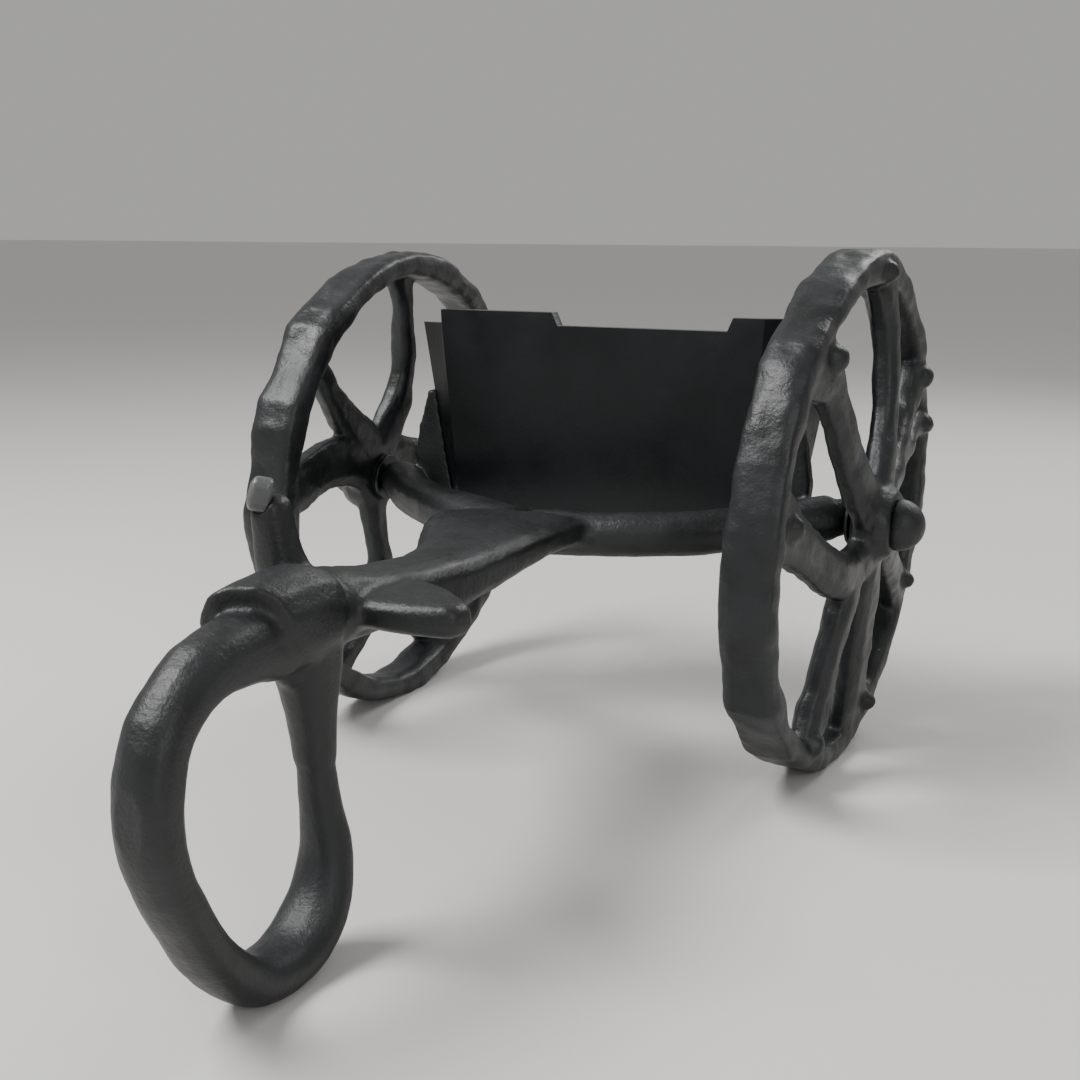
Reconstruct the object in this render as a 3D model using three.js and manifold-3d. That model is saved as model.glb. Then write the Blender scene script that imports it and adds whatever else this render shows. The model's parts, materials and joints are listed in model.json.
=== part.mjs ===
// A three-wheeled cart sculpture for a desk: two large free-turning spoked wheels, a hooded
// front loop in place of a front wheel, and an open tub for small steel things.
// Millimetres. X runs to the cart's right side, Y rearward and Z up.
// Every piece is placed from the ground point below the middle of the axle line, and the
// last lines move the whole cart so that its box is centred on the origin and stands on z = 0.
import * as THREE from 'three';
import { mergeVertices } from 'three/addons/utils/BufferGeometryUtils.js';
import Module from 'manifold-3d';

const wasm = await Module();
wasm.setup();

// ---------- driving dimensions ----------
const WHEEL_R = 75;            // outer radius of a rear wheel
const TRACK_HALF = 75;         // from the middle plane to each rim's middle
const RIM_WIDTH = 14;          // rim width along the axle
const RIM_DEPTH = 7.5;         // rim thickness, in to out
const RIM_STEPS = 56;
const SPOKE_DEPTH = 6.8;       // spoke thickness along the axle
const SPOKE_OUT_RIM = 3.4;     // how far the spokes' middle lies outboard of the rim's middle
const SPOKE_OUT_HUB = 11;      // the same at the hub: the wheel is dished outward
const HUB_R = 10.8;
const HUB_IN = 7;              // hub barrel, from this far outboard of the rim's middle
const HUB_OUT = 17;            // to this far
const BUSH_R = 5.4;
const BUSH_FLANGE_R = 7.2;
const FLANGE_T = 1.2;          // thickness of the bush's flange and of the washer
const SPINDLE_R = 3.4;
const SPINDLE_BACK = 2.2;       // how far the spindle shows inboard of its washer
const CAP_R = 7.5;            // domed cap over the end of each spindle
const RUN_GAP = 0.35;          // radial room of a turning fit
const GAP = 0.3;               // between two pieces that touch
const BAR_R = 6;               // round crossbar
const TUB_TOP = 132;           // rim height of the tub's raised ends
const TUB_NOTCH = 128;         // rim height in the front notch and on the chamfers
const TUB_BOTTOM = 68;
const TUB_WALL = 4.2;
const TUB_FLOOR = 4.8;
const MAGNET_R = 12.5;
const MAGNET_T = 3;
const COVER_T = 1.8;
const RIVET_R = 2.9;

// ---------- finishes ----------
const finish = (color, roughness, metalness) =>
  new THREE.MeshStandardMaterial({ color, roughness, metalness });
const CAST = finish(0x23262a, 0.55, 0.35);
const TUB_PAINT = finish(0x14191e, 0.38, 0.2);
const STEEL = finish(0x55585b, 0.4, 0.8);
const RUBBED = finish(0x6e7276, 0.5, 0.5);
const BLACKENED = finish(0x2a2b2d, 0.45, 0.7);
const NICKEL = finish(0x8c9093, 0.3, 0.9);

// ---------- solids ----------
const ACROSS = [1, 0, 0];
const BACK = [0, 1, 0];
const UP = [0, 0, 1];

// A geometry as a solid with its faces turned outward.
function solidOf(geometry) {
  const bare = geometry.index ? geometry.toNonIndexed() : geometry.clone();
  bare.deleteAttribute('normal');
  bare.deleteAttribute('uv');
  const merged = mergeVertices(bare, 1e-4);
  const build = (triVerts) => new wasm.Manifold(new wasm.Mesh({
    numProp: 3, vertProperties: new Float32Array(merged.attributes.position.array), triVerts,
  }));
  const triVerts = new Uint32Array(merged.index.array);
  const solid = build(triVerts);
  return solid.volume() > 0 ? solid : build(triVerts.reverse());
}

function geometryOf(solid) {
  const mesh = solid.getMesh();
  const geometry = new THREE.BufferGeometry();
  geometry.setAttribute('position', new THREE.BufferAttribute(mesh.vertProperties, 3));
  geometry.setIndex(new THREE.BufferAttribute(mesh.triVerts, 1));
  geometry.computeVertexNormals();
  return geometry;
}

const joined = (solids) => solids.reduce((sum, solid) => sum.add(solid));
const without = (solid, ...tools) => tools.reduce((rest, tool) => rest.subtract(tool), solid);
// The biggest single body of a cut solid: slivers that a cut leaves behind are dropped.
const largest = (solid) => solid.decompose().sort((a, b) => b.volume() - a.volume())[0];

function piece(parent, name, solid, material) {
  const mesh = new THREE.Mesh(geometryOf(solid), material);
  mesh.name = name;
  parent.add(mesh);
  return mesh;
}

// A closed surface through rings of points: a run is capped at both ends, a loop has no ends.
function skin(rings, closed) {
  const sides = rings[0].length;
  const points = rings.flat();
  const index = [];
  const spans = closed ? rings.length : rings.length - 1;
  for (let i = 0; i < spans; i++) {
    const here = i * sides;
    const next = ((i + 1) % rings.length) * sides;
    for (let j = 0; j < sides; j++) {
      const k = (j + 1) % sides;
      index.push(here + j, here + k, next + k, here + j, next + k, next + j);
    }
  }
  if (!closed) {
    const cap = (start, order) => {
      const centre = new THREE.Vector3();
      for (let j = 0; j < sides; j++) centre.addScaledVector(points[start + j], 1 / sides);
      points.push(centre);
      for (let j = 0; j < sides; j++) {
        const pair = [start + j, start + (j + 1) % sides];
        index.push(points.length - 1, pair[order], pair[1 - order]);
      }
    };
    cap(0, 1);
    cap((rings.length - 1) * sides, 0);
  }
  const geometry = new THREE.BufferGeometry().setFromPoints(points);
  geometry.setIndex(index);
  return solidOf(geometry);
}

// A cast bar along stations [x, y, z, half width, half thickness], with its width held
// along `wide`. A larger squareness gives flatter faces, and grow makes it larger all round.
function castBar(stations, wide, options = {}) {
  const { steps = 10, sides = 12, squareness = 2.4, closed = false, grow = 0, blunt = 0.5 } = options;
  const across = new THREE.Vector3(...wide);
  const path = new THREE.CatmullRomCurve3(
    stations.map(([x, y, z]) => new THREE.Vector3(x, y, z)), closed, 'centripetal');
  const sizes = new THREE.CatmullRomCurve3(
    stations.map(([, , , a, b], i) => new THREE.Vector3(a, b, i * 4)), closed, 'centripetal');
  const rings = [];
  const ringAt = (u, scale, shift) => {
    const along = path.getTangent(u);
    const side = across.clone().addScaledVector(along, -across.dot(along)).normalize();
    const up = new THREE.Vector3().crossVectors(along, side);
    const size = sizes.getPoint(u);
    const centre = path.getPoint(u).addScaledVector(along, shift);
    const power = 2 / squareness;
    const ring = [];
    for (let j = 0; j < sides; j++) {
      const turn = ((j + 0.5) / sides) * 2 * Math.PI;
      const x = Math.sign(Math.cos(turn)) * Math.abs(Math.cos(turn)) ** power;
      const y = Math.sign(Math.sin(turn)) * Math.abs(Math.sin(turn)) ** power;
      ring.push(centre.clone()
        .addScaledVector(side, x * (size.x + grow) * scale)
        .addScaledVector(up, y * (size.y + grow) * scale));
    }
    rings.push(ring);
  };
  const bluntBy = (station) => Math.min(station[3], station[4]) * blunt + grow;
  if (!closed) ringAt(0, 0.6, -bluntBy(stations[0]));
  for (let i = 0; i < (closed ? steps : steps + 1); i++) ringAt(i / steps, 1, 0);
  if (!closed) ringAt(1, 0.6, bluntBy(stations[stations.length - 1]));
  return skin(rings, closed);
}

// A turned piece about Z from its profile of [radius, height].
const turned = (profile, segments = 20) => solidOf(new THREE.LatheGeometry(
  profile.map(([r, h]) => new THREE.Vector2(r, h)), segments).rotateX(Math.PI / 2));
const tube = (outer, inner, from, to, segments = 24) => turned(
  [[inner, from], [outer, from], [outer, to], [inner, to], [inner, from]], segments);
const rod = (radius, from, to, segments = 20) =>
  turned([[0, from], [radius, from], [radius, to], [0, to]], segments);

function block(low, high) {
  const size = high.map((value, i) => value - low[i]);
  return solidOf(new THREE.BoxGeometry(...size)
    .translate(...low.map((value, i) => value + size[i] / 2)));
}

// Prisms of an outline in (x, z), run along Y, and of one in (y, z), run along X.
function prismAcross(outline, from, to) {
  const shape = new THREE.Shape(outline.map(([x, z]) => new THREE.Vector2(x, z)));
  const geometry = new THREE.ExtrudeGeometry(shape, { depth: to - from, bevelEnabled: false });
  return solidOf(geometry.rotateX(Math.PI / 2).translate(0, to, 0));
}

const prismAlong = (outline, from, to) => solidOf(
  new THREE.ExtrudeGeometry(new THREE.Shape(outline.map(([y, z]) => new THREE.Vector2(y, z))),
    { depth: to - from, bevelEnabled: false })
    .applyMatrix4(new THREE.Matrix4().makeBasis(new THREE.Vector3(...BACK),
      new THREE.Vector3(...UP), new THREE.Vector3(...ACROSS)))
    .translate(from, 0, 0));

const radians = THREE.MathUtils.degToRad;
const degrees = THREE.MathUtils.radToDeg;

// ---------- front loop ----------
// A bent oval bar that stands in for the front wheel. Its rear limb is the thin strut.
const LOOP_X = 6.5;
const loopStations = [
  [LOOP_X, -190, 75.6, 6.5, 7.2], [LOOP_X, -206, 74, 6.4, 5.8], [LOOP_X, -217.2, 66, 6.3, 5.2],
  [LOOP_X, -221.2, 53, 6.3, 5.2], [LOOP_X, -219.4, 40, 6.1, 4.9], [LOOP_X, -213.2, 27, 6, 4.6],
  [LOOP_X, -204.3, 14, 6.1, 4.7], [LOOP_X, -193.5, 5.3, 6.6, 4.7], [LOOP_X, -181, 4.4, 7.4, 4.8],
  [LOOP_X, -170.5, 10.4, 7.2, 5.2], [6.3, -165.5, 21, 5.8, 4.7], [5.9, -166.5, 33, 4.4, 4],
  [5.7, -168, 46, 3.5, 3.6], [5.7, -168.4, 56, 3.7, 3.8], [6, -169.8, 67, 5.2, 5],
  [LOOP_X, -178.5, 74.6, 6.4, 7.4],
];
const loopBar = (grow) =>
  castBar(loopStations, ACROSS, { steps: 48, sides: 12, squareness: 2.3, closed: true, grow });
const ground = block([-60, -260, -20], [60, -120, 0]);

function frontLoop(parent) {
  piece(parent, 'front_loop', without(loopBar(0), ground), CAST);
}

// ---------- frame ----------
// A sleeve over the top of the loop, open at the front where its lip stands clear of the bar.
const hoodTop = [
  [5.9, -203, 75, 8.4, 9.2], [5.9, -192, 77.6, 8.8, 9.8], [6, -183, 78, 9.2, 10.3],
  [6, -175, 77.8, 9.4, 10.6], [6, -168.5, 76.6, 8.8, 9.8],
];
const hoodFlank = [
  [6, -172, 75, 8.4, 9], [5.9, -169.8, 67, 7, 7.6], [5.8, -168.8, 59, 5.5, 5.8],
  [5.7, -168.2, 51, 4.6, 4.7], [5.7, -167.8, 44.5, 4.2, 4.3],
];
const hoodSleeve = (grow) => joined([
  castBar(hoodTop, ACROSS, { steps: 8, squareness: 2.3, blunt: 0.25, grow }),
  castBar(hoodFlank, ACROSS, { steps: 7, squareness: 2.2, blunt: 0.1, grow }),
]);
const hoodMouth = [
  [5.9, -214, 70, 7, 7], [5.9, -204, 75, 7, 7.4], [5.9, -193, 76.8, 6.8, 7.6],
];
// The lip is skewed: its right side lies further back. Nothing of it hangs under the loop.
const lipCut = prismAlong([[-60, -30], [13, -30], [10, -9], [2.5, -1.5], [0, 14], [-60, 14]], -40, 40)
  .rotate([0, 0, 22]).translate([5.9, -192.4, 78.5]);

// The flat-topped stem from the hood to the crossbar, spreading into a palm.
const stemStations = [
  [5.6, -164, 77, 8, 8], [5.4, -150, 75.8, 9.2, 6.8], [5.2, -136, 74.2, 9.2, 6.2],
  [5, -121, 72.5, 9.6, 6.8], [3.8, -104, 72.4, 11.2, 6.1], [-0.5, -84, 72.9, 15.5, 5.3],
  [-5, -66, 73.2, 20, 4.9], [-7.5, -52, 73.2, 23.5, 4.9],
];
const stemBar = (grow) => castBar(stemStations, ACROSS, { steps: 15, squareness: 3, grow });
const leftArm = [
  [-10, -47, 71.9, 9, 6], [-24, -39, 72, 8.2, 6], [-42, -29.5, 72.1, 7, 5.9],
  [-58, -17.5, 72.6, 6.2, 5.8], [-66, -9.5, 73.6, 6, 5.9], [-72.8, -2.4, 74.5, 6, 6],
];
const leftBar = (grow) => castBar(leftArm, BACK, { steps: 12, squareness: 2.8, grow });
const rightArm = [
  [-2, -45.5, 71.6, BAR_R, BAR_R], [14, -42.5, 71.6, BAR_R, BAR_R], [32, -35.5, 71.9, BAR_R, BAR_R],
  [50, -23.5, 72.6, BAR_R, BAR_R], [64, -10.5, 73.8, 6.1, 6.1], [72.8, -2.2, 74.8, 6.3, 6.3],
];
const rightBar = (grow) => castBar(rightArm, UP, { steps: 12, squareness: 2, grow });

// The step on the right of the stem: a flat plate that narrows to a rounded point.
const stepStations = [
  [8, -151, 76.4, 13, 3.5], [18, -152.5, 76.4, 11.5, 3.5], [28, -156, 76.5, 7.6, 3.4],
  [35.5, -158.5, 76.6, 3.6, 3],
];
// The handle: a stub on the hood's left shoulder, with a square pad let into its outer side.
const handleStations = [
  [-2.4, -162.5, 79, 5.6, 5.2], [-4.6, -164, 86.5, 4.8, 4.5], [-5.2, -164.8, 93, 4.1, 4],
  [-5.8, -165.2, 98.8, 3.8, 3.7],
];
const padStations = [[-5.4, -166.2, 100.6, 3.7, 2.9], [-8.2, -168, 101.5, 3.5, 2.7]];
const padBar = (grow) =>
  castBar(padStations, UP, { steps: 2, squareness: 3.4, blunt: 0.25, grow });

function frame(parent) {
  const mouth = castBar(hoodMouth, ACROSS, { steps: 5, squareness: 2.3, blunt: 0.2 });
  const hood = without(hoodSleeve(0), loopBar(GAP), mouth, lipCut);
  const stem = without(stemBar(0), hoodSleeve(GAP), rightBar(GAP));
  const arm = without(leftBar(0), stemBar(GAP), rightBar(GAP));
  const step = without(castBar(stepStations, BACK, { steps: 7, squareness: 3.4 }), stemBar(GAP),
    hoodSleeve(GAP));
  const handle = without(castBar(handleStations, BACK, { steps: 8, squareness: 2.6, blunt: 0.4 }),
    stemBar(GAP), hoodSleeve(GAP), padBar(GAP));
  piece(parent, 'hood', largest(hood), CAST);
  piece(parent, 'stem', largest(stem), CAST);
  piece(parent, 'left_axle_arm', largest(arm), CAST);
  piece(parent, 'right_axle_arm', largest(rightBar(0)), CAST);
  piece(parent, 'right_step', largest(step), CAST);
  piece(parent, 'left_handle', largest(handle), CAST);
  piece(parent, 'left_handle_pad', padBar(0), RUBBED);
}

// ---------- tub ----------
// Its outline at the rim and at the floor: a box with its four corners cut off. The front
// leans forward as it rises, and every wall spreads outward.
const tubOutline = (front, back, half, chamferX, chamferY) => [
  [-half + chamferX, front], [half - chamferX, front], [half, front + chamferY],
  [half, back - chamferY], [half - chamferX, back], [-half + chamferX, back],
  [-half, back - chamferY], [-half, front + chamferY],
];
const RIM_OUTLINE = { front: -9, back: 46, half: 64, chamferX: 10.6, chamferY: 6.5 };
const FLOOR_OUTLINE = { front: -5, back: 40, half: 53.6, chamferX: 4.6, chamferY: 4 };

function tubBody(inset, low, high) {
  const ringAt = (z) => {
    const t = (z - TUB_BOTTOM) / (TUB_TOP - TUB_BOTTOM);
    const at = (key) => THREE.MathUtils.lerp(FLOOR_OUTLINE[key], RIM_OUTLINE[key], t);
    return tubOutline(at('front') + inset, at('back') - inset, at('half') - inset,
      at('chamferX') - inset * 0.4, at('chamferY') - inset * 0.4)
      .map(([x, y]) => new THREE.Vector3(x, y, z));
  };
  return skin([ringAt(low), ringAt(high)], false);
}

// The front notch, seen from the front: its ends slope.
const NOTCH = { left: -12.4, right: 42.1, slope: 2.2 };
// The sides fall from the front corners to the low back wall.
const BACK_TOP = 118;

function tub(parent) {
  const notch = prismAcross([
    [NOTCH.left, TUB_NOTCH], [NOTCH.right, TUB_NOTCH],
    [NOTCH.right + NOTCH.slope, TUB_TOP + 1], [NOTCH.left - NOTCH.slope, TUB_TOP + 1],
  ], -30, 0);
  const lowSides = prismAlong([
    [-2.5, TUB_NOTCH - 0.5], [60, BACK_TOP - 3], [60, TUB_TOP + 5], [-2.5, TUB_TOP + 5],
  ], -80, 80);
  const lowCorner = block([-80, -30, TUB_NOTCH - 0.5], [-53.2, 10, TUB_TOP + 5]);
  const pocket = rod(MAGNET_R + GAP, TUB_BOTTOM - 1, TUB_BOTTOM + MAGNET_T + 2 * GAP, 32)
    .translate([MAGNET_AT[0], MAGNET_AT[1], 0]);
  const shell = without(tubBody(0, TUB_BOTTOM, TUB_TOP),
    tubBody(TUB_WALL, TUB_BOTTOM + TUB_FLOOR, TUB_TOP + 10), notch, lowSides, lowCorner, pocket);
  piece(parent, 'tub', largest(shell), TUB_PAINT);

  for (const [name, side, bar] of [['left', -1, leftBar], ['right', 1, rightBar]]) {
    const outline = [[50, 72], [65.5, 72], [66.5, 84], [65, 94], [62, 105], [50, 105]];
    const plate = prismAcross(outline.map(([x, z]) => [side * x, z]), -2.5, 2.5);
    const gusset = without(plate, tubBody(-GAP, TUB_BOTTOM - 10, TUB_TOP), bar(GAP));
    piece(parent, `${name}_tub_gusset`, largest(gusset), CAST);
  }
}

// A magnet under the tub's floor holds small steel things in the tub.
const MAGNET_AT = [0, 16];
const COVER_R = 19;
const SCREW_AT = 15.7;
function magnet(parent) {
  const place = (solid) => solid.translate([MAGNET_AT[0], MAGNET_AT[1], 0]);
  const coverTop = TUB_BOTTOM - GAP;
  piece(parent, 'magnet',
    place(rod(MAGNET_R, TUB_BOTTOM + GAP, TUB_BOTTOM + GAP + MAGNET_T, 32)), NICKEL);
  const holes = [-SCREW_AT, SCREW_AT].map((x) =>
    rod(1.3 + GAP, coverTop - COVER_T - 1, coverTop + 1, 12).translate([x, 0, 0]));
  piece(parent, 'magnet_cover',
    place(without(rod(COVER_R, coverTop - COVER_T, coverTop, 40), ...holes)), STEEL);
  for (const [name, x] of [['left', -SCREW_AT], ['right', SCREW_AT]]) {
    const under = coverTop - COVER_T - GAP;
    const screw = turned([[0, under - 1.6], [1.4, under - 1.5], [2.3, under - 0.9], [2.6, under],
      [1.3, under], [1.3, TUB_BOTTOM - GAP], [0, TUB_BOTTOM - GAP]], 14);
    piece(parent, `${name}_cover_screw`, place(screw.translate([x, 0, 0])), STEEL);
  }
}

// ---------- rear wheels ----------
// Each wheel has its own frame: X rearward, Y up, Z to the cart's right, centred in the rim's
// middle plane. Its bars are [x, y, width] in that plane, from the rim or a fork to the hub.
const LEFT = {
  name: 'left', side: -1, toe: 0, camber: -1.8, phase: 0.6,
  lumps: [[133, 2.1, 5], [157, 1.7, 6], [181, 1.7, 6], [318, 1.1, 7]],
  thinned: [],
  spokes: [
    [[4, 68, 12], [7.5, 58, 6.4], [10.5, 46, 6.2], [12.5, 35, 7], [10, 23, 11], [3, 11, 16], [0, 1, 16]],
    [[-51, 47, 15], [-43.5, 40.5, 8], [-34, 31, 8], [-22, 22, 10.5], [-8, 12, 16], [0, 3, 16]],
    [[-67, 3, 21], [-56, 4, 15], [-42, 7, 15], [-27, 8.5, 16], [-12, 7, 19], [0, 1, 18]],
    [[0, 0, 18], [-1, -12, 11], [0, -24, 8.4], [2, -34, 9.5], [9, -46, 7], [20, -56, 7], [30, -63, 14]],
    [[1, -26, 7], [-5, -40, 7.4], [-16, -50, 6.4], [-26, -55, 6.8], [-36, -60, 13]],
    [[0, 2, 18], [13, 6.5, 13], [25, 4.5, 8.4], [41, 1, 7], [56, -2, 8], [68, -4, 17]],
  ],
  rivets: [[86, 67], [138, 66], [176, 66.5], [239, 67], [296, 67], [357, 66.5]],
};
const RIGHT = {
  name: 'right', side: 1, toe: -2.7, camber: 2.4, phase: 2.1,
  lumps: [[87, 2.7, 13], [193, 2.9, 6], [213, 3.1, 6], [232, 1.4, 5], [140, 1, 8], [333, 1.5, 6]],
  thinned: [[200, 1.8, 30]],
  spokes: [
    [[-47, 50, 27], [-37.5, 43.5, 15], [-28.5, 32, 12.5], [-19.5, 18.5, 13], [-8, 7.5, 16], [0, 0, 17]],
    [[11, 67, 15], [15, 55, 8.4], [15.5, 40, 8], [10.5, 23, 9.4], [3, 10, 14], [0, 0, 17]],
    [[-69, 10, 23], [-57, 4.5, 14], [-43, -3, 13], [-28, -10.5, 13], [-14, -12.5, 14], [0, -6, 16]],
    [[-12, -10, 11], [-17, -25, 11], [-20, -40, 11], [-23, -52, 11], [-26, -64, 17]],
    [[0, 0, 16], [3, -16, 14], [6, -32, 17], [11, -48, 20], [19, -65, 30]],
    [[0, 0, 16], [16, -8, 13], [34, -19, 12], [50, -28, 12], [62, -34, 20]],
    [[0, 2, 16], [16, 8, 10], [30, 15, 8.4], [44, 26, 7.6], [57, 39, 14]],
    [[28, 13, 7.5], [42, 16, 6.8], [55, 19, 7.4], [66, 22, 13]],
  ],
  rivets: [[88, 71], [129, 64], [172, 63.5], [245, 67], [291, 67], [333, 67], [34, 67], [18, 67]],
};

const outboard = (x, y) => THREE.MathUtils.lerp(SPOKE_OUT_HUB, SPOKE_OUT_RIM,
  Math.min(1, Math.hypot(x, y) / (WHEEL_R - RIM_DEPTH)));

// How far, in degrees, a turn in radians lies from an angle in degrees.
const offAngle = (turn, angle) => degrees(
  Math.atan2(Math.sin(turn - radians(angle)), Math.cos(turn - radians(angle))));

// A flat band, slightly out of round, with a few cast lumps and stretches where it is thinner.
// Both are lists of [angle, height, spread], in degrees and millimetres.
function rim({ phase, lumps, thinned }) {
  const mid = WHEEL_R - RIM_DEPTH / 2;
  const rings = [];
  const sides = 10;
  for (let i = 0; i < RIM_STEPS; i++) {
    const turn = (i / RIM_STEPS) * 2 * Math.PI;
    let swell = 0;
    let out = 0.3 * Math.sin(5 * turn + phase) + 0.25 * Math.sin(9 * turn + 2 * phase) - 0.35;
    for (const [angle, height, spread] of lumps) {
      swell += height * Math.exp(-((offAngle(turn, angle) / spread) ** 2));
    }
    let inner = 0.35 * Math.sin(7 * turn + 3 * phase);
    for (const [angle, height, spread] of thinned) {
      inner += height * Math.exp(-((offAngle(turn, angle) / spread) ** 2));
    }
    const half = RIM_WIDTH / 2 + 0.25 * Math.sin(6 * turn + phase) + 0.25 * Math.min(swell, 1.4);
    const ring = [];
    for (let j = 0; j < sides; j++) {
      const around = ((j + 0.5) / sides) * 2 * Math.PI;
      const c = Math.cos(around);
      const s = Math.sin(around);
      const radial = Math.sign(c) * Math.abs(c) ** 0.45 * RIM_DEPTH / 2;
      const r = mid + radial + (c > 0 ? out + swell : inner);
      ring.push(new THREE.Vector3(r * Math.cos(turn), r * Math.sin(turn),
        Math.sign(s) * Math.abs(s) ** 0.45 * half));
    }
    rings.push(ring);
  }
  return skin(rings, true);
}

function wheel(parent, spec) {
  const { name, side } = spec;
  const axial = (solid) => (side > 0 ? solid : solid.mirror([0, 0, 1]));
  const spokes = spec.spokes.map((bar) => castBar(
    bar.map(([x, y, width]) => [x, y, side * outboard(x, y), SPOKE_DEPTH / 2, width / 2]),
    UP, { steps: 2 * (bar.length - 1), sides: 8, squareness: 2.6, blunt: 0.1 }));
  const hub = axial(turned([[0, HUB_IN], [HUB_R - 1.5, HUB_IN], [HUB_R, HUB_IN + 1.2],
    [HUB_R, HUB_OUT - 3], [HUB_R - 2, HUB_OUT], [0, HUB_OUT]], 20));
  const bore = axial(rod(BUSH_R + GAP, HUB_IN - 6, HUB_OUT + 5, 20));
  const casting = without(joined([rim(spec), ...spokes, hub]), bore);
  piece(parent, `${name}_wheel`, largest(casting), CAST);
  piece(parent, `${name}_bush`, axial(turned([
    [SPINDLE_R + RUN_GAP, HUB_IN - GAP - FLANGE_T], [BUSH_FLANGE_R, HUB_IN - GAP - FLANGE_T],
    [BUSH_FLANGE_R, HUB_IN - GAP], [BUSH_R, HUB_IN - GAP], [BUSH_R, HUB_OUT - 0.5],
    [SPINDLE_R + RUN_GAP, HUB_OUT - 0.5], [SPINDLE_R + RUN_GAP, HUB_IN - GAP - FLANGE_T]], 20)), BLACKENED);
  spec.rivets.forEach(([angle, r], i) => {
    const turn = radians(angle);
    const head = turned([[0, 0], [RIVET_R, 0], [RIVET_R + 0.3, 0.6], [RIVET_R * 0.86, 1.8],
      [RIVET_R * 0.45, 2.6], [0, 2.9]], 10);
    const seat = RIM_WIDTH / 2 + GAP + 0.35;
    piece(parent, `${name}_rivet_${i + 1}`,
      axial(head.translate([r * Math.cos(turn), r * Math.sin(turn), seat])), CAST);
  });
}

// The spindle, its washer and its ball-ended cap stay with the frame.
function axleEnd(parent, { name, side }) {
  const axial = (solid) => (side > 0 ? solid : solid.mirror([0, 0, 1]));
  const washerOut = HUB_IN - GAP - FLANGE_T - GAP;
  const capIn = HUB_OUT + GAP;
  piece(parent, `${name}_spindle`, axial(rod(SPINDLE_R, washerOut - SPINDLE_BACK, HUB_OUT, 20)), STEEL);
  piece(parent, `${name}_washer`,
    axial(tube(BUSH_FLANGE_R + 0.4, SPINDLE_R + GAP, washerOut - FLANGE_T, washerOut, 20)), BLACKENED);
  const ballAt = capIn + 0.9;
  const profile = [[0, capIn]];
  for (let i = 0; i <= 7; i++) {
    const around = THREE.MathUtils.lerp(-6.8, 90, i / 7);
    profile.push([CAP_R * Math.cos(radians(around)), ballAt + CAP_R * Math.sin(radians(around))]);
  }
  profile[1][1] = capIn;
  profile[profile.length - 1][0] = 0;
  piece(parent, `${name}_cap`, axial(turned(profile, 18)), CAST);
}

// A group whose Z is the spindle: toe turns it about the vertical, camber leans its top out.
function spindleFrame({ side, toe, camber }) {
  const t = radians(toe);
  const c = radians(camber);
  const out = new THREE.Vector3(side * Math.cos(t), side * Math.sin(t), 0);
  const up = new THREE.Vector3(0, 0, 1);
  const axis = out.clone().multiplyScalar(Math.cos(c)).addScaledVector(up, -Math.sin(c));
  const top = up.clone().multiplyScalar(Math.cos(c)).addScaledVector(out, Math.sin(c));
  const rear = new THREE.Vector3(-Math.sin(t), Math.cos(t), 0);
  const height = WHEEL_R * Math.cos(c) + (RIM_WIDTH / 2) * Math.abs(Math.sin(c));
  const group = new THREE.Group();
  group.applyMatrix4(new THREE.Matrix4()
    .makeBasis(rear, top, axis.multiplyScalar(side))
    .setPosition(side * TRACK_HALF, 0, height));
  return group;
}

const cart = new THREE.Group();
frontLoop(cart);
frame(cart);
tub(cart);
magnet(cart);
for (const spec of [LEFT, RIGHT]) {
  const group = spindleFrame(spec);
  wheel(group, spec);
  axleEnd(group, spec);
  const low = new THREE.Box3().setFromObject(group, true).min.z;
  group.position.z -= low;
  cart.add(group);
}

// The cart stands on z = 0 with its box centred on the origin.
cart.updateMatrixWorld(true);
const box = new THREE.Box3().setFromObject(cart, true);
const middle = box.getCenter(new THREE.Vector3());
cart.position.set(-middle.x, -middle.y, -box.min.z);

export default cart;
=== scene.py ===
# %% [markdown]
# # A cast desk cart, made piece by piece
# This is a small cart sculpture for a desk: a hooded front loop, a forked bar frame, two spoked
# wheels that turn freely, and an open tub for paper clips. Its bars and wheels are hand-cast and
# painted charcoal. A cast piece has soft corners, low lumps and a fine grain, so the lesson is
# mostly about how to turn plain engineering solids into something that looks poured.
#
# The engineering model is loaded first. It is fixed: it gives the sizes and the moving bodies.

import json
import math

import bpy
from mathutils import Matrix, Vector


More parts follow.
